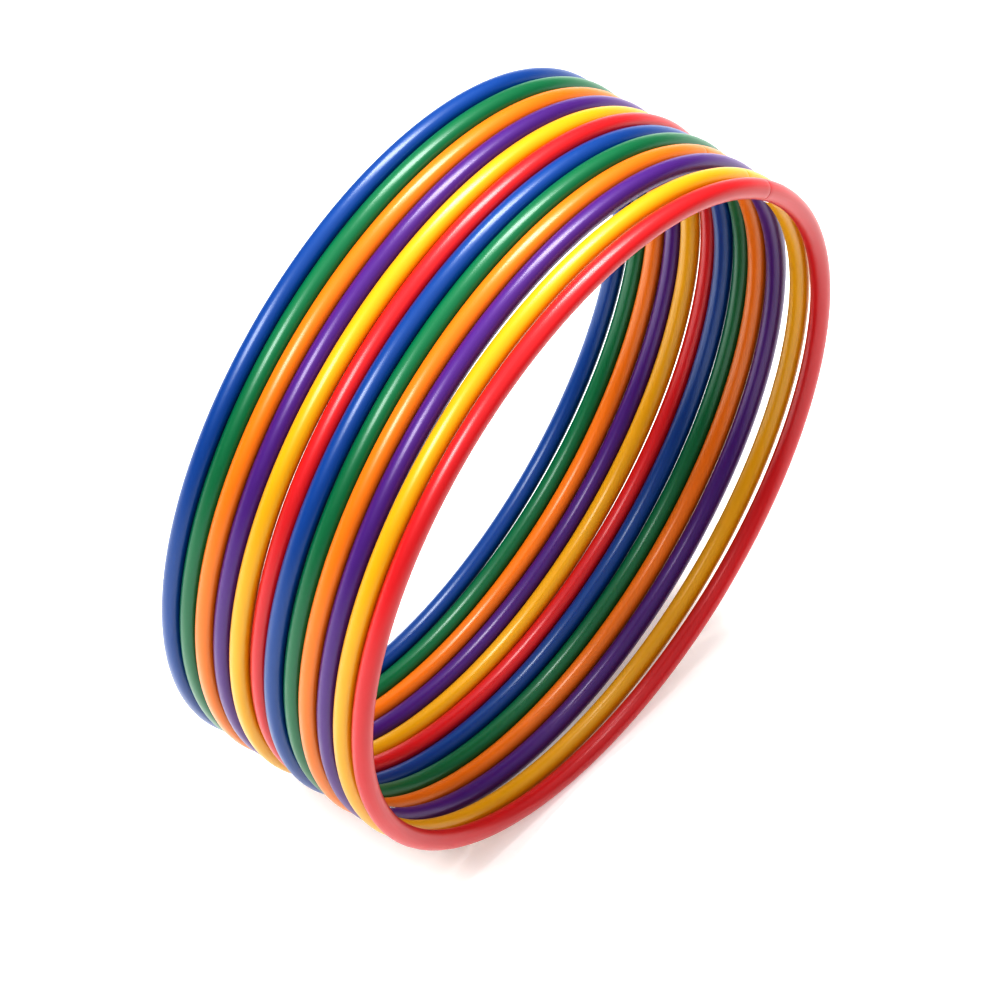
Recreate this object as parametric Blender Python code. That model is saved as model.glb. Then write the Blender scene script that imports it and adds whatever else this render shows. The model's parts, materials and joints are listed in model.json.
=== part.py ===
"""Row of twelve loose plastic hoops standing on edge, side by side, as one short open tunnel.

Metres, +Z up. The passage runs along Y: hoop_01 is at the +Y end and hoop_12 faces -Y.
Each hoop is a hollow tube bent to a ring. Its two ends butt together over a curved inner plug,
and two steel staples, driven from the inside of the ring, hold them on it.
Every hoop hangs from an empty at its own centre, whose local XY plane is the plane of the ring
and whose local +Z is the direction the hoop slides off its neighbour.
"""

import math

import bmesh
import bpy
from mathutils import Matrix, Vector

# Driving dimensions, in metres.
HOOP_OUTSIDE_DIAMETER = 0.610
TUBE_DIAMETER = 0.017
TUBE_WALL = 0.002
PLUG_LENGTH = 0.080
STAPLE_CROWN = 0.010
STAPLE_WIRE = 0.0011
STAPLE_BITE = 0.005  # how far a leg goes into the plug
CLEARANCE = 0.0003  # between any two pieces that touch
SEAM_GAP = 0.0004  # between the two butted ends of a tube
CUTTER_SPARE = 0.001

# How finely a tube is divided. Both counts are multiples of four, so that flats lie
# underneath, where a hoop stands, and at its sides, where it meets its neighbours.
RING_SEGMENTS = 32
TUBE_SIDES = 8
RING_STEP = 2 * math.pi / RING_SEGMENTS

# Each hoop from +Y to -Y: colour, sideways roll in millimetres, turn about the vertical in
# degrees, spare gap to the hoop behind in millimetres, and where its seam is, in degrees
# round the ring from +X through the top.
HOOPS = [
    ("blue", 0.0, 0.15, 0.0, 25),
    ("green", 1.5, 0.0, 0.0, 225),
    ("orange", -0.5, -0.02, 0.0, 35),
    ("purple", 1.0, -0.04, 0.0, 235),
    ("yellow", -0.5, -0.02, 0.0, 20),
    ("red", 4.0, -0.05, 0.0, 225),
    ("blue", -0.5, -0.03, 0.0, 35),
    ("green", 2.5, -0.05, 0.0, 215),
    ("orange", -0.5, -0.04, 0.0, 45),
    ("purple", 0.5, -0.10, 0.0, 215),
    ("yellow", -1.0, -0.85, 0.0, 55),
    ("red", 0.0, -1.15, 0.0, 45),
]

# Colour (linear), roughness and metallic value of each material.
PLASTICS = {
    "blue": (0.004, 0.095, 0.400),
    "green": (0.004, 0.330, 0.095),
    "orange": (0.950, 0.270, 0.012),
    "purple": (0.115, 0.030, 0.320),
    "yellow": (0.950, 0.720, 0.008),
    "red": (0.890, 0.032, 0.035),
}
PLUG_COLOUR = (0.60, 0.60, 0.57)
STEEL_COLOUR = (0.52, 0.52, 0.54)

TUBE_RADIUS = TUBE_DIAMETER / 2
BORE_RADIUS = TUBE_RADIUS - TUBE_WALL
PLUG_RADIUS = BORE_RADIUS - CLEARANCE
OUTSIDE_RADIUS = HOOP_OUTSIDE_DIAMETER / 2
CENTRELINE_RADIUS = OUTSIDE_RADIUS - TUBE_RADIUS


def clear_scene():
    for obj in list(bpy.data.objects):
        bpy.data.objects.remove(obj, do_unlink=True)


def new_collection(name):
    collection = bpy.data.collections.new(name)
    bpy.context.scene.collection.children.link(collection)
    return collection


def new_material(name, colour, roughness, metallic):
    material = bpy.data.materials.new(name)
    material.use_nodes = True
    shader = material.node_tree.nodes["Principled BSDF"]
    shader.inputs["Base Color"].default_value = (*colour, 1.0)
    shader.inputs["Roughness"].default_value = roughness
    shader.inputs["Metallic"].default_value = metallic
    material.diffuse_color = (*colour, 1.0)
    return material


def middle_of_facet(angle):
    """The middle, as an angle, of the straight facet of the ring that holds this angle."""
    return round(angle / RING_STEP) * RING_STEP


def nearest_corner(angle):
    """The corner of the ring nearest to this angle, so that each staple sits on one facet."""
    return (math.floor(angle / RING_STEP) + 0.5) * RING_STEP


def on_ring(angle):
    """A point of the tube's centreline, which is a polygon with flats at the four quarters."""
    middle = middle_of_facet(angle)
    distance = CENTRELINE_RADIUS / math.cos(angle - middle)
    return Vector((distance * math.cos(angle), distance * math.sin(angle), 0.0))


def ring_stretch(start, end):
    """Centreline points from one angle to another: both ends and each corner between them."""
    first_corner = math.floor(start / RING_STEP - 0.5) + 1.5
    angles = [start]
    corner = first_corner
    while corner * RING_STEP < end - RING_STEP / 1000:
        if corner * RING_STEP > start + RING_STEP / 1000:
            angles.append(corner * RING_STEP)
        corner += 1
    angles.append(end)
    return [on_ring(angle) for angle in angles]


def ring_shell(work, radius):
    """Adds a closed ring of this radius round the centreline. Its flats lie at that radius."""
    reach = radius / math.cos(math.pi / TUBE_SIDES)
    stretch = 1 / math.cos(RING_STEP / 2)
    turn = Matrix.Rotation(RING_STEP / 2, 4, "Z")
    outline = []
    for side in range(TUBE_SIDES):
        angle = (side + 0.5) * 2 * math.pi / TUBE_SIDES
        distance = (CENTRELINE_RADIUS + reach * math.cos(angle)) * stretch
        outline.append(work.verts.new(turn @ Vector((distance, 0.0, reach * math.sin(angle)))))
    edges = [work.edges.new(pair) for pair in zip(outline, outline[1:] + outline[:1])]
    before = set(work.faces)
    bmesh.ops.spin(
        work,
        geom=outline + edges,
        cent=(0.0, 0.0, 0.0),
        axis=(0.0, 0.0, 1.0),
        angle=2 * math.pi,
        steps=RING_SEGMENTS,
        use_merge=True,
    )
    faces = [face for face in work.faces if face not in before]
    bmesh.ops.recalc_face_normals(work, faces=faces)
    return faces


def tube_mesh(name):
    """A whole hollow ring: its outside, and its bore with the faces turned inwards."""
    work = bmesh.new()
    ring_shell(work, TUBE_RADIUS)
    bore = ring_shell(work, BORE_RADIUS)
    bmesh.ops.reverse_faces(work, faces=bore)
    for face in work.faces:
        face.smooth = True
    return finished_mesh(work, name)


def plug_mesh(name, seam):
    """A solid bar that follows the bore for half its length on each side of the seam."""
    half_angle = PLUG_LENGTH / 2 / CENTRELINE_RADIUS
    points = ring_stretch(seam - half_angle, seam + half_angle)
    curve = bpy.data.curves.new(name, "CURVE")
    curve.dimensions = "3D"
    curve.twist_mode = "Z_UP"
    curve.bevel_depth = PLUG_RADIUS / math.cos(math.pi / TUBE_SIDES)
    curve.bevel_resolution = (TUBE_SIDES - 4) // 2
    curve.use_fill_caps = True
    spline = curve.splines.new("POLY")
    spline.points.add(len(points) - 1)
    for point, place in zip(spline.points, points):
        point.co = (*place, 1.0)
        point.tilt = math.pi / TUBE_SIDES
    guide = bpy.data.objects.new(name + "_guide", curve)
    bpy.context.scene.collection.objects.link(guide)
    bpy.context.view_layer.update()
    graph = bpy.context.evaluated_depsgraph_get()
    mesh = bpy.data.meshes.new_from_object(guide.evaluated_get(graph))
    bpy.data.objects.remove(guide, do_unlink=True)
    mesh.name = name
    work = bmesh.new()
    work.from_mesh(mesh)
    bmesh.ops.remove_doubles(work, verts=work.verts, dist=CLEARANCE / 100)
    bmesh.ops.recalc_face_normals(work, faces=work.faces)
    for face in work.faces:
        face.smooth = len(face.verts) == 4
    work.to_mesh(mesh)
    work.free()
    return mesh


def add_object(name, mesh, collection, parent, material=None):
    obj = bpy.data.objects.new(name, mesh)
    obj.parent = parent
    collection.objects.link(obj)
    if material:
        mesh.materials.append(material)
    return obj


def add_cutter(name, mesh, collection, parent):
    cutter = add_object(name, mesh, collection, parent)
    cutter.hide_render = True
    cutter.display_type = "WIRE"
    return cutter


def cut(obj, cutter):
    modifier = obj.modifiers.new("cut_" + cutter.name, "BOOLEAN")
    modifier.operation = "DIFFERENCE"
    modifier.solver = "EXACT"
    modifier.object = cutter


def staple_places(seam):
    """Where the two staples sit: half-way from the seam to each end of the plug.

    Each place is a matrix in the ring's plane, with +X along the tube and +Y outwards,
    on the tube's surface that faces the middle of the ring.
    """
    places = []
    for side in (-1, 1):
        angle = seam + side * PLUG_LENGTH / 4 / CENTRELINE_RADIUS
        middle = middle_of_facet(angle)
        along = CENTRELINE_RADIUS * math.tan(middle - angle)
        turn = Matrix.Rotation(middle - math.pi / 2, 4, "Z")
        places.append(turn @ Matrix.Translation((along, CENTRELINE_RADIUS - TUBE_RADIUS, 0.0)))
    return places


def staple_outline():
    """The flat U of a staple. Its crown lies just off the tube and its legs point outwards."""
    half = STAPLE_CROWN / 2
    top = -CLEARANCE
    back = top - STAPLE_WIRE
    tip = TUBE_WALL + CLEARANCE + STAPLE_BITE
    inner = half - STAPLE_WIRE
    nose = STAPLE_WIRE / 3
    return [
        (-half + nose, back),
        (half - nose, back),
        (half, back + nose),
        (half, tip),
        (inner, tip),
        (inner, top),
        (-inner, top),
        (-inner, tip),
        (-half, tip),
        (-half, back + nose),
    ]


def make_staple(name, place, collection, parent, material):
    curve = bpy.data.curves.new(name, "CURVE")
    curve.dimensions = "2D"
    curve.fill_mode = "BOTH"
    curve.extrude = STAPLE_WIRE / 2
    outline = staple_outline()
    spline = curve.splines.new("POLY")
    spline.points.add(len(outline) - 1)
    for point, place_on_plane in zip(spline.points, outline):
        point.co = (*place_on_plane, 0.0, 1.0)
    spline.use_cyclic_u = True
    curve.materials.append(material)
    staple = bpy.data.objects.new(name, curve)
    staple.parent = parent
    staple.matrix_local = place
    collection.objects.link(staple)
    return staple


def add_box(work, place, low, high):
    """Adds a box between two corners, given in the frame of this place."""
    size = Vector(high) - Vector(low)
    middle = (Vector(high) + Vector(low)) / 2
    matrix = place @ Matrix.Translation(middle) @ Matrix.Diagonal((*size, 1.0))
    bmesh.ops.create_cube(work, size=1.0, matrix=matrix)


def add_leg_holes(work, places):
    """Square holes for the legs of both staples, from inside the ring into the plug."""
    half_width = STAPLE_WIRE / 2 + CLEARANCE
    top = TUBE_WALL + 2 * CLEARANCE + STAPLE_BITE
    for place in places:
        for side in (-1, 1):
            along = side * (STAPLE_CROWN - STAPLE_WIRE) / 2
            low = (along - half_width, -CUTTER_SPARE, -half_width)
            high = (along + half_width, top, half_width)
            add_box(work, place, low, high)


def add_seam_cut(work, seam):
    """A thin slice across the whole tube, in the plane where its two ends meet."""
    place = Matrix.Rotation(seam, 4, "Z") @ Matrix.Translation((CENTRELINE_RADIUS, 0.0, 0.0))
    reach = TUBE_RADIUS + 2 * CUTTER_SPARE
    add_box(work, place, (-reach, -SEAM_GAP / 2, -reach), (reach, SEAM_GAP / 2, reach))


def finished_mesh(work, name):
    mesh = bpy.data.meshes.new(name)
    work.to_mesh(mesh)
    work.free()
    return mesh


def make_hoop(name, centre, seam, materials, parts, cutters):
    """One hoop: its tube, its plug and its two staples, all round the empty at its centre."""
    plastic, plug_plastic, steel = materials
    places = staple_places(seam)

    tube = add_object(name + "_tube", tube_mesh(name + "_tube"), parts, centre, plastic)
    work = bmesh.new()
    add_seam_cut(work, seam)
    add_leg_holes(work, places)
    tube_cutter_mesh = finished_mesh(work, name + "_seam_and_leg_holes")
    cut(tube, add_cutter(tube_cutter_mesh.name, tube_cutter_mesh, cutters, centre))

    plug = add_object(name + "_plug", plug_mesh(name + "_plug", seam), parts, centre, plug_plastic)
    work = bmesh.new()
    add_leg_holes(work, places)
    plug_cutter_mesh = finished_mesh(work, name + "_plug_leg_holes")
    cut(plug, add_cutter(plug_cutter_mesh.name, plug_cutter_mesh, cutters, centre))

    for letter, place in zip("ab", places):
        make_staple(f"{name}_staple_{letter}", place, parts, centre, steel)


def place_hoops():
    """(x, y, turn) of each hoop. Each just clears the hoop behind it on its nearer side."""
    places = []
    y = 0.0
    turn_behind = 0.0
    for number, (_, roll_mm, turn_degrees, spare_mm, _) in enumerate(HOOPS):
        turn = math.radians(turn_degrees)
        if number:
            opening = OUTSIDE_RADIUS * abs(math.sin(turn) - math.sin(turn_behind))
            y -= TUBE_DIAMETER + CLEARANCE + spare_mm / 1000 + opening
        places.append((roll_mm / 1000, y, turn))
        turn_behind = turn
    return places


def centre_on_origin(centres, parts):
    """Moves every hoop by one step so that the row's box stands centred on the origin."""
    bpy.context.view_layer.update()
    corners = [
        obj.matrix_world @ Vector(corner) for obj in parts.objects for corner in obj.bound_box
    ]
    for axis in (0, 1):
        low = min(corner[axis] for corner in corners)
        high = max(corner[axis] for corner in corners)
        for centre in centres:
            centre.location[axis] -= (low + high) / 2


def main():
    clear_scene()
    parts = new_collection("hoop_tunnel")
    cutters = new_collection("cutters")
    plastics = {
        name: new_material(name + "_plastic", colour, 0.18, 0.0)
        for name, colour in PLASTICS.items()
    }
    plug_plastic = new_material("plug_plastic", PLUG_COLOUR, 0.45, 0.0)
    steel = new_material("staple_steel", STEEL_COLOUR, 0.3, 1.0)

    centres = []
    for number, ((colour, _, _, _, seam), (x, y, turn)) in enumerate(zip(HOOPS, place_hoops()), 1):
        name = f"hoop_{number:02d}"
        centre = bpy.data.objects.new(name + "_centre", None)
        centre.location = (x, y, OUTSIDE_RADIUS)
        centre.rotation_euler = (math.pi / 2, 0.0, turn)
        parts.objects.link(centre)
        centres.append(centre)
        materials = (plastics[colour], plug_plastic, steel)
        make_hoop(name, centre, nearest_corner(math.radians(seam)), materials, parts, cutters)
    centre_on_origin(centres, parts)


main()
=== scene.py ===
# %% [markdown]
# # A row of plastic hoops, standing on edge
#
# Twelve loose hoops of one size stand side by side on a pale floor, like a short open tunnel for a
# dog to run through. Each hoop is a length of extruded plastic tube, bent to a ring. Its two ends
# butt together over a short inner plug, and a steel staple on each side of the joint holds them.
#
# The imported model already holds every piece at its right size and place, with flat facets. This
# script reads the places from it, builds a smooth and detailed piece for each node, gives each one
# a finish, and sets the floor, the lights and the camera.

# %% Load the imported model
import json
import math

import bpy
import numpy as np
from mathutils import Matrix, Vector

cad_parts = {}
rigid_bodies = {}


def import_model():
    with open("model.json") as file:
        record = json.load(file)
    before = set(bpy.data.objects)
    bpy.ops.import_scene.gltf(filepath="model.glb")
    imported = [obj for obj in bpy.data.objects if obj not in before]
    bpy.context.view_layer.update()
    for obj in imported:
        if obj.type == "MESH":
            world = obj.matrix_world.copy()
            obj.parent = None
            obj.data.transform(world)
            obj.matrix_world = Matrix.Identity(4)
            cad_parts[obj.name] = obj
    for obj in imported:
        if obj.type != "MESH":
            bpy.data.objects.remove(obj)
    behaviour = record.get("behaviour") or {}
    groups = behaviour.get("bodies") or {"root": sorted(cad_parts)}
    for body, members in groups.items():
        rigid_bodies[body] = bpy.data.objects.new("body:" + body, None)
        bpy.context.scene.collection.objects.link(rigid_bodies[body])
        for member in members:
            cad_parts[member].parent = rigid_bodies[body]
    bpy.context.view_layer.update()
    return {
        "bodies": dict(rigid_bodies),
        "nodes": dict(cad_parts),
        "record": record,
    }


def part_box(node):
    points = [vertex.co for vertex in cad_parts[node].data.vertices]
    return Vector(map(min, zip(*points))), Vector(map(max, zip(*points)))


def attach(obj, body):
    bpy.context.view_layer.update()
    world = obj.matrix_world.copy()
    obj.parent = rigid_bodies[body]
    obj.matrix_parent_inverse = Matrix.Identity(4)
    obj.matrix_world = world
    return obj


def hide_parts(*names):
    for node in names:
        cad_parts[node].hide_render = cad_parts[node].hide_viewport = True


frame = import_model()
hoop_names = sorted(frame["bodies"])
print(f"{len(hoop_names)} hoops, {len(frame['nodes'])} nodes")

# %% [markdown]
# ## Working units
#
# Sizes on an object like this are thought of in millimetres, and Blender counts metres, so one
# function turns millimetres to metres. Colours are picked as sRGB hex values, as on a colour card,
# and shaders want linear light, so one more function turns hex to linear.

# %% Millimetres and colours
def mm(value):
    """Millimetres to metres."""
    return value / 1000.0


def linear(hex_colour):
    """An sRGB hex colour, such as "ED3237", as linear red, green, blue and a solid alpha."""
    channels = [int(hex_colour[i : i + 2], 16) / 255.0 for i in (0, 2, 4)]
    light = [c / 12.92 if c <= 0.04045 else ((c + 0.055) / 1.055) ** 2.4 for c in channels]
    return (*light, 1.0)


print("mid grey in linear light:", round(linear("808080")[0], 3))

# %% [markdown]
# ## Where each hoop stands
#
# A loose hoop never lines up perfectly: it has rolled a little sideways and turned a little about
# the vertical. The middle of a hoop is the middle of its box. Its turn is the slope of its points
# seen from above, because every point of a ring lies close to one plane. The joint in the tube is
# half-way between the hoop's two staples.

# %% Measure the hoops
def middle_of(node):
    low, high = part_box(node)
    return (low + high) / 2


def turn_of(node):
    """How far a ring has turned about the vertical, from a straight line fitted from above."""
    points = np.array([vertex.co[:2] for vertex in frame["nodes"][node].data.vertices])
    points -= points.mean(axis=0)
    return math.atan(float(points[:, 0] @ points[:, 1]) / float(points[:, 0] @ points[:, 0]))


def measure_hoop(name):
    centre = middle_of(name + "_tube")
    turn = turn_of(name + "_tube")
    joint = (middle_of(name + "_staple_a") + middle_of(name + "_staple_b")) / 2 - centre
    across = joint.x * math.cos(turn) + joint.y * math.sin(turn)
    return {"centre": centre, "turn": turn, "joint": math.atan2(joint.z, across)}


hoops = {name: measure_hoop(name) for name in hoop_names}
straightest = min(hoops, key=lambda name: abs(hoops[name]["turn"]))
low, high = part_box(straightest + "_tube")
OUTSIDE_RADIUS = (high.z - low.z) / 2
TUBE_RADIUS = (high.y - low.y) / 2  # a turned hoop's box is deeper than its tube
CENTRELINE_RADIUS = OUTSIDE_RADIUS - TUBE_RADIUS
print(f"outside diameter {OUTSIDE_RADIUS * 2000:.1f} mm, tube {TUBE_RADIUS * 2000:.2f} mm across")
for name, hoop in hoops.items():
    print(name, f"turned {math.degrees(hoop['turn']):.2f} degrees, joint at",
          f"{math.degrees(hoop['joint']):.0f} degrees")

# %% [markdown]
# ## A tube bent to a ring
#
# Cheap, strong hoops are cut from a coil of extruded tube, so the piece is modelled that way: a
# straight tube first, a list of rings of points along its length, and then a bend that wraps the
# length round the hoop's centre. A torus primitive would be quicker, but it has no ends, no wall
# and no joint. Keeping each point's place on the straight tube has another use. The finish follows
# the extrusion, so the fine lines in it run along the tube and never cross a seam in a map.
#
# A straight point is (length, outward, sideways), all from the middle of the joint. The bend keeps
# the length along the centreline.

# %% The bend
RING_LENGTH = 2 * math.pi * CENTRELINE_RADIUS


def bend(straight, joint):
    """Wraps points of the straight tube round the hoop. The hoop's own plane is X and Z."""
    angle = joint + straight[:, 0] / CENTRELINE_RADIUS
    distance = CENTRELINE_RADIUS + straight[:, 1]
    return np.column_stack((distance * np.cos(angle), -straight[:, 2], distance * np.sin(angle)))


def stand(points, hoop):
    """Turns and moves points of a hoop from its own plane to where it stands in the row."""
    place = Matrix.Translation(hoop["centre"]) @ Matrix.Rotation(hoop["turn"], 4, "Z")
    matrix = np.array(place)
    return points @ matrix[:3, :3].T + matrix[:3, 3]


print(f"each tube is {RING_LENGTH * 1000:.0f} mm long before it is bent")

# %% [markdown]
# ## From rings of points to a closed piece
#
# Tube, plug and staple are all sweeps: one outline after another, joined by strips of quads. One
# function makes that mesh. A tube's outlines run along the outside, turn round the end face and go
# back through the bore, and so close on themselves, with no lid. A solid bar is closed by a lid at
# each end. The corners of every face run anticlockwise seen from outside, so that it faces out.
# Every point carries its place on the straight tube as an attribute for the finish.

# %% Sweep a mesh
def sweep(name, rings, placed, closed_along):
    """Joins rings of points, given straight and placed, into one mesh piece."""
    count, sides = len(rings), len(rings[0])
    along = count if closed_along else count - 1
    faces = []
    for i in range(along):
        for j in range(sides):
            here, there = i * sides, (i + 1) % count * sides
            following = (j + 1) % sides
            faces.append((here + j, there + j, there + following, here + following))
    if not closed_along:
        faces.append(tuple(range(sides)))
        faces.append(tuple(range(count * sides - 1, (count - 1) * sides - 1, -1)))
    mesh = bpy.data.meshes.new(name)
    mesh.from_pydata(placed.tolist(), [], faces)
    straight = mesh.attributes.new("straight_tube_mm", "FLOAT_VECTOR", "POINT")
    straight.data.foreach_set("vector", (np.vstack(rings) * 1000).astype(np.float32).ravel())
    mesh.shade_smooth()
    mesh.validate()
    piece = bpy.data.objects.new(name, mesh)
    bpy.context.scene.collection.objects.link(piece)
    return piece


def outline(length, radius, sides):
    """A circle of points round the straight tube at this length."""
    angle = np.arange(sides) * 2 * math.pi / sides
    return np.column_stack((np.full(sides, length), radius * np.cos(angle), radius * np.sin(angle)))


# %% [markdown]
# ## The tube
#
# The saw leaves each end square, with the edge just broken. The plug is a tight fit, so the tube
# swells a little over it, and the swelling fades out past the plug's ends. That swelling and the
# hairline gap are what the eye finds when it looks for the joint in a real hoop.

# %% Tube sizes
TUBE_WALL = mm(2.0)
JOINT_GAP = mm(0.35)
EDGE_BREAK = mm(0.35)  # the rounding on each sawn edge
PLUG_LENGTH = mm(80)
SWELL = mm(0.12)
SWELL_FADE = mm(3)
RING_STEPS = 300  # about 6 mm of tube to a step
BORE_STEPS = 100  # the bore is only seen through the gap
END_STEPS = 6
TUBE_SIDES = 36


def swell_at(length):
    """How much the tube stands out over the plug, this far from the joint: a smooth S curve."""
    past_plug = (abs(length) - PLUG_LENGTH / 2) / SWELL_FADE
    return SWELL / (1 + math.exp(past_plug))


# %% Make the tubes
def broken_edge(length, direction):
    """(length, radius) pairs that round the outer edge of an end, from the side to the face."""
    pairs = []
    for step in range(1, END_STEPS):
        angle = step / END_STEPS * math.pi / 2
        back = EDGE_BREAK * (1 - math.sin(angle))
        drop = EDGE_BREAK * (1 - math.cos(angle))
        pairs.append((length - direction * back, TUBE_RADIUS - drop))
    return pairs


def make_tube(name, hoop):
    start, end = JOINT_GAP / 2, RING_LENGTH - JOINT_GAP / 2
    outside = np.linspace(start + EDGE_BREAK, end - EDGE_BREAK, RING_STEPS)
    bore = TUBE_RADIUS - TUBE_WALL
    profile = [(length, TUBE_RADIUS) for length in outside]
    profile += broken_edge(end, 1)
    profile += [(end, bore + EDGE_BREAK / 2)]
    bore_lengths = np.linspace(end - EDGE_BREAK, start + EDGE_BREAK, BORE_STEPS)
    profile += [(length, bore) for length in bore_lengths]
    profile += [(start, bore + EDGE_BREAK / 2)]
    profile += broken_edge(start, -1)[::-1]
    rings = []
    for length, radius in profile:
        from_joint = min(length, RING_LENGTH - length)
        rings.append(outline(length, radius + swell_at(from_joint), TUBE_SIDES))
    placed = stand(bend(np.vstack(rings), hoop["joint"]), hoop)
    tube = sweep(name + "_smooth_tube", rings, placed, True)
    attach(tube, name)
    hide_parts(name + "_tube")
    return tube


tubes = {name: make_tube(name, hoop) for name, hoop in hoops.items()}
print(f"{len(tubes)} tubes, {len(tubes[hoop_names[0]].data.polygons)} faces each")

# %% [markdown]
# ## The plug
#
# The plug is a plain rod of natural plastic, as long as a finger, pushed half into each end. It is
# bent with the tube. Only a hairline of it shows, in the gap, but it is a real piece, so it has
# rounded ends that would find their way into a bore.

# %% Make the plugs
PLUG_FIT = mm(0.25)  # clearance that keeps the two surfaces apart
PLUG_RADIUS = TUBE_RADIUS - TUBE_WALL - PLUG_FIT
PLUG_NOSE = mm(2.5)  # radius of the rounding at each end
NOSE_STEPS = 8
PLUG_STEPS = 16
PLUG_SIDES = 24


def make_plug(name, hoop):
    half = PLUG_LENGTH / 2
    nose = []
    for step in range(NOSE_STEPS):
        angle = step / NOSE_STEPS * math.pi / 2
        length = -half + PLUG_NOSE * (1 - math.cos(angle))
        radius = PLUG_RADIUS - PLUG_NOSE * (1 - math.sin(angle))
        nose.append(outline(length, radius, PLUG_SIDES))
    lengths = np.linspace(-half + PLUG_NOSE, half - PLUG_NOSE, PLUG_STEPS)
    middle = [outline(length, PLUG_RADIUS, PLUG_SIDES) for length in lengths]
    other_nose = [ring * np.array((-1.0, 1.0, 1.0)) for ring in nose[::-1]]
    rings = nose + middle + other_nose
    placed = stand(bend(np.vstack(rings), hoop["joint"]), hoop)
    plug = sweep(name + "_smooth_plug", rings, placed, False)
    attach(plug, name)
    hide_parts(name + "_plug")
    return plug


plugs = {name: make_plug(name, hoop) for name, hoop in hoops.items()}
print(f"{len(plugs)} plugs, {PLUG_RADIUS * 2000:.1f} mm thick")

# %% [markdown]
# ## The staples
#
# A staple starts as a straight length of flattened wire. The gun folds it to a U and drives it from
# the inside of the ring, where nobody's hand runs. The crown ends up pressed a little into the
# plastic. The wire's middle line is a path with two round corners, and a rounded rectangle is swept
# along it.

# %% Make the staples
STAPLE_CROWN = mm(10)
STAPLE_WIRE = mm(1.1)
STAPLE_CORNER = mm(0.9)
STAPLE_LEG = mm(7.5)
STAPLE_SUNK = mm(0.25)
STAPLE_FROM_JOINT = PLUG_LENGTH / 4
CORNER_STEPS = 6
WIRE_SIDES = 16
WIRE_SQUARENESS = 4  # 2 is a round wire, and a large number a sharp-edged square one


def wire_path():
    """Middle of the wire, as (along, outward, direction) from one leg's tip to the other's."""
    half = (STAPLE_CROWN - STAPLE_WIRE) / 2
    path = [(-half, STAPLE_LEG, -math.pi / 2), (-half, STAPLE_LEG / 2, -math.pi / 2)]
    for step in range(CORNER_STEPS + 1):
        angle = step / CORNER_STEPS * math.pi / 2
        path.append((-half + STAPLE_CORNER * (1 - math.cos(angle)),
                     STAPLE_CORNER * (1 - math.sin(angle)), angle - math.pi / 2))
    crown = [(x, 0.0, 0.0) for x in (-half / 3, 0.0, half / 3)]
    mirrored = [(-x, y, -direction) for x, y, direction in path[::-1]]
    return path + crown + mirrored


def wire_outline():
    """A flattened wire's section: a square with well rounded corners."""
    points = []
    for step in range(WIRE_SIDES):
        angle = (step + 0.5) / WIRE_SIDES * 2 * math.pi
        c, s = math.cos(angle), math.sin(angle)
        reach = (abs(c) ** WIRE_SQUARENESS + abs(s) ** WIRE_SQUARENESS) ** (1 / WIRE_SQUARENESS)
        points.append((STAPLE_WIRE / 2 * c / reach, STAPLE_WIRE / 2 * s / reach))
    return points


def make_staple(name, hoop, letter, side):
    surface = -TUBE_RADIUS - STAPLE_WIRE / 2 + STAPLE_SUNK - SWELL
    rings = []
    for along, outward, direction in wire_path():
        ring = [
            (side * STAPLE_FROM_JOINT + along - u * math.sin(direction),
             surface + outward + u * math.cos(direction), v)
            for u, v in wire_outline()
        ]
        rings.append(np.array(ring))
    placed = stand(bend(np.vstack(rings), hoop["joint"]), hoop)
    staple = sweep(f"{name}_bent_staple_{letter}", rings, placed, False)
    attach(staple, name)
    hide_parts(f"{name}_staple_{letter}")
    return staple


# %% Two staples for each hoop
staples = []
for name, hoop in hoops.items():
    staples.append(make_staple(name, hoop, "a", -1))
    staples.append(make_staple(name, hoop, "b", 1))
print(f"{len(staples)} staples")

# %% [markdown]
# ## Adding a shader node
#
# Every finish below is a short chain of nodes. One function adds any node: it sets its properties
# and its plain socket values, and links whatever is given as another node's output.

# %% Add a node
def add(tree, kind, settings=None, **sockets):
    """Adds a node. A socket's name has _ for each space, and its value may be an output."""
    node = tree.nodes.new(kind)
    for key, value in (settings or {}).items():
        setattr(node, key, value)
    for key, value in sockets.items():
        wanted = key.replace("_", " ")
        socket = node.inputs[int(key[1:])] if key[1:].isdigit() else node.inputs[wanted]
        if isinstance(value, bpy.types.NodeSocket):
            tree.links.new(value, socket)
        else:
            socket.default_value = value
    return node


def new_material(name):
    """An empty node material with a Principled shader joined to its output."""
    material = bpy.data.materials.new(name)
    material.use_nodes = True
    tree = material.node_tree
    tree.nodes.clear()
    shader = tree.nodes.new("ShaderNodeBsdfPrincipled")
    output = tree.nodes.new("ShaderNodeOutputMaterial")
    tree.links.new(shader.outputs["BSDF"], output.inputs["Surface"])
    return material, tree, shader


# %% [markdown]
# ## Finish: glossy extruded polyethylene
#
# The tube is high-density polyethylene, coloured right through and drawn from a polished die. It
# comes out glossy, with a soft edge to its highlights, because the surface has a faint ripple. The
# die leaves fine lines along the tube, the pigment is never quite even, and a hoop that has rolled
# has small duller patches round its outermost line. Each pattern's size is given in millimetres of
# real tube, and it is stretched along the tube where the cause runs along it.

# %% Polyethylene
POLYETHYLENE_IOR = 1.53
PLASTIC_COLOURS = {
    "blue": "003E80",
    "green": "00633C",
    "orange": "D27008",
    "purple": "481A70",
    "yellow": "D09A04",
    "red": "BC1C22",
}
DIE_LINE_MM = 0.9  # real lines are nearer 0.2 mm, which is too fine to show
DIE_LINE_LENGTH_MM = 400
PIGMENT_MM = 22
PIGMENT_LENGTH_MM = 160
RIPPLE_MM = 5
RIPPLE_LENGTH_MM = 60
SCUFF_MM = 3
SCUFF_LENGTH_MM = 9
SMALLEST_NOISE, LARGEST_NOISE = 0.3, 0.7  # nearly all of a noise pattern lies between these


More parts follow.
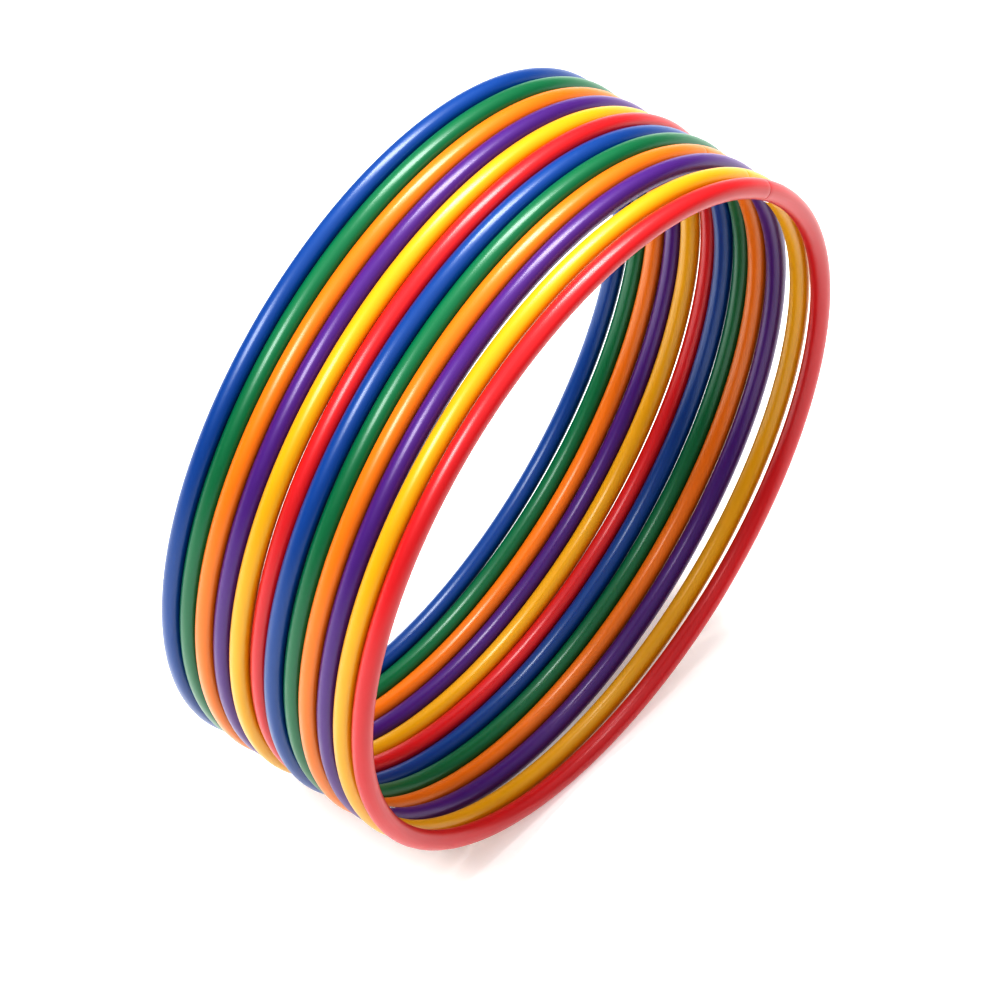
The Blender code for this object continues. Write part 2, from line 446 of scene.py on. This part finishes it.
def along_tube(tree, place, length_mm, width_mm, detail=2.0):
    """A noise pattern this long and this wide in millimetres, stretched along the tube."""
    scale = (1 / length_mm, 1 / width_mm, 1 / width_mm)
    mapping = add(tree, "ShaderNodeMapping", Vector=place, Scale=scale)
    vector = mapping.outputs["Vector"]
    noise = add(tree, "ShaderNodeTexNoise", Vector=vector, Scale=1.0, Detail=detail)
    return noise.outputs["Fac"]


def map_range(tree, value, low, high, to_low, to_high):
    """Turns low..high into to_low..to_high along a smooth curve."""
    node = add(tree, "ShaderNodeMapRange", {"interpolation_type": "SMOOTHSTEP"}, Value=value)
    node.inputs["From Min"].default_value = low
    node.inputs["From Max"].default_value = high
    node.inputs["To Min"].default_value = to_low
    node.inputs["To Max"].default_value = to_high
    return node.outputs["Result"]


def clouds(tree, noise, darkest, lightest):
    """A noise pattern spread over a stated range."""
    return map_range(tree, noise, SMALLEST_NOISE, LARGEST_NOISE, darkest, lightest)


def multiply(tree, a, b):
    return add(tree, "ShaderNodeMath", {"operation": "MULTIPLY"}, _0=a, _1=b).outputs[0]


def straight_place(tree):
    """Where a point lies on the straight tube, in millimetres: along, outward, sideways."""
    attribute = add(tree, "ShaderNodeAttribute", {"attribute_name": "straight_tube_mm"})
    return attribute.outputs["Vector"]


# %% One pigment of the tube
DARKEST_PIGMENT, LIGHTEST_PIGMENT = 0.93, 1.05
WIDEST_LINE = 0.80  # rubbing starts at this share of the tube's radius
SCUFF_FAINTEST, SCUFF_STRONGEST = 0.60, 0.74  # only the tops of the noise are scuffs
SCUFF_ROUGHNESS = 0.08
GLOSSIEST, DULLEST = 0.29, 0.34  # roughness between and on the die lines
FINEST_LINE, BROADEST_LINE = 0.35, 0.65
RIPPLE_HEIGHT = mm(0.03)
DIE_LINE_HEIGHT = mm(0.003)


def polyethylene(colour_name, hex_colour):
    """One pigment of the glossy tube."""
    material, tree, shader = new_material(f"extruded_polyethylene_{colour_name}")
    place = straight_place(tree)
    parts = add(tree, "ShaderNodeSeparateXYZ", Vector=place)

    # Pigment: a little darker and a little lighter in slow clouds.
    pigment = along_tube(tree, place, PIGMENT_LENGTH_MM, PIGMENT_MM)
    lightness = clouds(tree, pigment, DARKEST_PIGMENT, LIGHTEST_PIGMENT)
    tint = add(tree, "ShaderNodeHueSaturation", Color=linear(hex_colour), Value=lightness)

    # Wear: the outermost line of the ring is the one that rolls on the floor.
    radius_mm = TUBE_RADIUS * 1000
    outside = map_range(tree, parts.outputs["Y"], radius_mm * WIDEST_LINE, radius_mm, 0.0, 1.0)
    rubbed = along_tube(tree, place, SCUFF_LENGTH_MM, SCUFF_MM, 6.0)
    patches = map_range(tree, rubbed, SCUFF_FAINTEST, SCUFF_STRONGEST, 0.0, 1.0)
    dulled = multiply(tree, multiply(tree, patches, outside), SCUFF_ROUGHNESS)

    # Gloss: each die line is a little duller than the plastic beside it.
    lines = along_tube(tree, place, DIE_LINE_LENGTH_MM, DIE_LINE_MM, 3.0)
    sheen = map_range(tree, lines, FINEST_LINE, BROADEST_LINE, GLOSSIEST, DULLEST)
    roughness = add(tree, "ShaderNodeMath", {"operation": "ADD"}, _0=sheen, _1=dulled).outputs[0]

    # Relief: fine die lines over a slow ripple, in fractions of a millimetre.
    ripple = along_tube(tree, place, RIPPLE_LENGTH_MM, RIPPLE_MM, 1.0)
    slow = add(tree, "ShaderNodeBump", Strength=1.0, Distance=RIPPLE_HEIGHT, Height=ripple)
    fine = add(tree, "ShaderNodeBump", Strength=1.0, Distance=DIE_LINE_HEIGHT, Height=lines,
               Normal=slow.outputs["Normal"])

    tree.links.new(tint.outputs["Color"], shader.inputs["Base Color"])
    tree.links.new(roughness, shader.inputs["Roughness"])
    tree.links.new(fine.outputs["Normal"], shader.inputs["Normal"])
    shader.inputs["IOR"].default_value = POLYETHYLENE_IOR
    return material


# %% Give the tubes their pigments
plastics = {name: polyethylene(name, colour) for name, colour in PLASTIC_COLOURS.items()}
slot_of = {part["node"]: part["material_slot"] for part in frame["record"]["subparts"]}
for name, tube in tubes.items():
    slot = slot_of[name + "_tube"]
    tube.data.materials.append(plastics[slot.removesuffix("_plastic")])
print("pigments:", ", ".join(plastics))

# %% [markdown]
# ## Finish: natural plastic and bright steel wire
#
# The plug is the same family of plastic with no pigment: milky, slightly see-through and much less
# glossy, because it is cut from rod. The staple is galvanised steel wire, flattened between rolls.
# The rolls leave fine scratches along the wire, and the zinc coat has a faint mottle.

# %% The plug's natural plastic
MILK_LENGTH_MM = 12
MILK_MM = 4


def natural_plastic():
    material, tree, shader = new_material("natural_polyethylene_rod")
    cloud = along_tube(tree, straight_place(tree), MILK_LENGTH_MM, MILK_MM)
    milk = add(tree, "ShaderNodeHueSaturation", Color=linear("E9E7DF"),
               Value=clouds(tree, cloud, 0.92, 1.0))
    tree.links.new(milk.outputs["Color"], shader.inputs["Base Color"])
    tree.links.new(clouds(tree, cloud, 0.38, 0.5), shader.inputs["Roughness"])
    shader.inputs["IOR"].default_value = POLYETHYLENE_IOR
    return material


# %% The staples' galvanised wire
ZINC_MOTTLE_MM = 1.5
SCRATCH_MM = 0.15
SCRATCH_LENGTH_MM = 6
SCRATCH_DEPTH = mm(0.01)


def galvanised_wire():
    material, tree, shader = new_material("galvanised_steel_wire")
    place = straight_place(tree)
    mottle = along_tube(tree, place, ZINC_MOTTLE_MM, ZINC_MOTTLE_MM)
    scratches = along_tube(tree, place, SCRATCH_LENGTH_MM, SCRATCH_MM, 4.0)
    zinc = add(tree, "ShaderNodeHueSaturation", Color=linear("C9CBCE"),
               Value=clouds(tree, mottle, 0.85, 1.0))
    relief = add(tree, "ShaderNodeBump", Strength=1.0, Distance=SCRATCH_DEPTH, Height=scratches)
    roughness = map_range(tree, scratches, FINEST_LINE, BROADEST_LINE, 0.25, 0.42)
    tree.links.new(zinc.outputs["Color"], shader.inputs["Base Color"])
    tree.links.new(roughness, shader.inputs["Roughness"])
    tree.links.new(relief.outputs["Normal"], shader.inputs["Normal"])
    shader.inputs["Metallic"].default_value = 1.0
    return material


# %% Finish the plugs and staples
natural = natural_plastic()
wire = galvanised_wire()
for name, plug in plugs.items():
    plug.data.materials.append(natural)
for staple in staples:
    staple.data.materials.append(wire)
print("finished:", natural.name, "and", wire.name)

# %% [markdown]
# ## Floor and light
#
# A product table: one wide sheet of matt translucent white board, lit faintly from below so that
# shadows stay pale. The world is white overhead and fades towards the horizon, so the rims of the
# tubes turn darker than their middles, as they do in a room with a bright ceiling. Behind everything
# is a plain white backdrop, which stands so far away that it lights nothing and is only looked at.
# Two soft boxes stand over the row, one a little to the right and one to the left. A glossy tube
# mirrors each of them as a long pale streak along its length.

# %% Floor
FLOOR_SIZE = 14.0
FLOOR_DROP = mm(0.2)  # keeps the board clear of the tubes' undersides
FLOOR_GLOW = 0.2  # light that comes up through the board, which keeps the shadows pale


def make_floor():
    bpy.ops.mesh.primitive_plane_add(size=FLOOR_SIZE, location=(0.0, 0.0, -FLOOR_DROP))
    floor = bpy.context.object
    floor.name = "pale_floor"
    material, tree, shader = new_material("translucent_white_board")
    shader.inputs["Base Color"].default_value = linear("F6F6F5")
    shader.inputs["Roughness"].default_value = 0.7
    shader.inputs["Emission Color"].default_value = linear("FFFFFF")
    shader.inputs["Emission Strength"].default_value = FLOOR_GLOW
    floor.data.materials.append(material)
    return floor


floor = make_floor()
print(f"{floor.name}, {FLOOR_SIZE:.0f} m square")

# %% The world
ZENITH_STRENGTH = 0.75
HORIZON_STRENGTH = 0.12
CEILING_HEIGHT = 0.8  # how high a direction points where the ceiling is at its brightest
BACKDROP_STRENGTH = 1.0


def make_world():
    """White light that fades from overhead down to the horizon, with a white backdrop to look at."""
    world = bpy.data.worlds.new("white_room")
    world.use_nodes = True
    tree = world.node_tree
    background = tree.nodes["Background"]
    direction = add(tree, "ShaderNodeTexCoord").outputs["Generated"]
    height = add(tree, "ShaderNodeSeparateXYZ", Vector=direction).outputs["Z"]
    ceiling = map_range(tree, height, 0.0, CEILING_HEIGHT, HORIZON_STRENGTH, ZENITH_STRENGTH)
    looked_at = add(tree, "ShaderNodeLightPath").outputs["Is Camera Ray"]
    backdrop = multiply(tree, looked_at, BACKDROP_STRENGTH)
    strength = add(tree, "ShaderNodeMath", {"operation": "MAXIMUM"}, _0=ceiling, _1=backdrop)
    background.inputs["Color"].default_value = linear("FFFFFF")
    tree.links.new(strength.outputs[0], background.inputs["Strength"])
    bpy.context.scene.world = world


make_world()

# %% Soft boxes
ROW_MIDDLE = Vector((0.0, 0.0, OUTSIDE_RADIUS))
LIGHT_DISTANCE = 2.2


def soft_light(name, direction, width, depth, brightness):
    """A soft box that faces the row. A brightness of 1 is that of white paper in the picture."""
    data = bpy.data.lights.new(name, "AREA")
    data.shape = "RECTANGLE"
    data.size = width
    data.size_y = depth
    data.energy = brightness * math.pi * width * depth
    light = bpy.data.objects.new(name, data)
    light.location = ROW_MIDDLE + Vector(direction).normalized() * LIGHT_DISTANCE
    facing = ROW_MIDDLE - light.location
    light.rotation_euler = facing.to_track_quat("-Z", "Y").to_euler()
    bpy.context.scene.collection.objects.link(light)
    return light


soft_light("overhead_box", (0.35, 0.15, 0.92), width=1.4, depth=0.60, brightness=19.5)
soft_light("left_box", (-0.65, 0.20, 0.73), width=1.0, depth=0.55, brightness=16.0)
print("lights are set")

# %% [markdown]
# ## Camera
#
# The row is seen from above its left front corner through a long lens, which keeps the far hoops
# almost as large as the near ones. The camera is also rolled a few degrees about its own axis. A
# plain view transform with more contrast keeps the pigments strong and the board white.

# %% Camera
VIEW_AZIMUTH = -54.49
VIEW_ELEVATION = 46.54
VIEW_ROLL = 3.0
VIEW_DISTANCE = 4.009
LENS_MM = 180.0
# From the middle of the front hoop to the point the lens looks at, in the picture's own axes.
AIM_RIGHT = mm(-79.9)
AIM_UP = mm(15.6)


def make_camera():
    azimuth, elevation, roll = map(math.radians, (VIEW_AZIMUTH, VIEW_ELEVATION, VIEW_ROLL))
    back = Vector((math.sin(azimuth) * math.cos(elevation),
                   -math.cos(azimuth) * math.cos(elevation), math.sin(elevation)))
    level_right = Vector((math.cos(azimuth), math.sin(azimuth), 0.0))
    level_up = back.cross(level_right)
    right = level_right * math.cos(roll) + level_up * math.sin(roll)
    up = back.cross(right)
    aim = hoops[hoop_names[-1]]["centre"] + right * AIM_RIGHT + up * AIM_UP
    data = bpy.data.cameras.new("camera")
    data.lens = LENS_MM
    camera = bpy.data.objects.new("camera", data)
    axes = Matrix((right, up, back)).transposed().to_4x4()
    camera.matrix_world = Matrix.Translation(aim + back * VIEW_DISTANCE) @ axes
    bpy.context.scene.collection.objects.link(camera)
    bpy.context.scene.camera = camera


make_camera()
print(f"camera at {VIEW_AZIMUTH} and {VIEW_ELEVATION} degrees, {LENS_MM:.0f} mm lens")

# %% How the picture is developed
bpy.context.scene.view_settings.view_transform = "Standard"
bpy.context.scene.view_settings.look = "High Contrast"
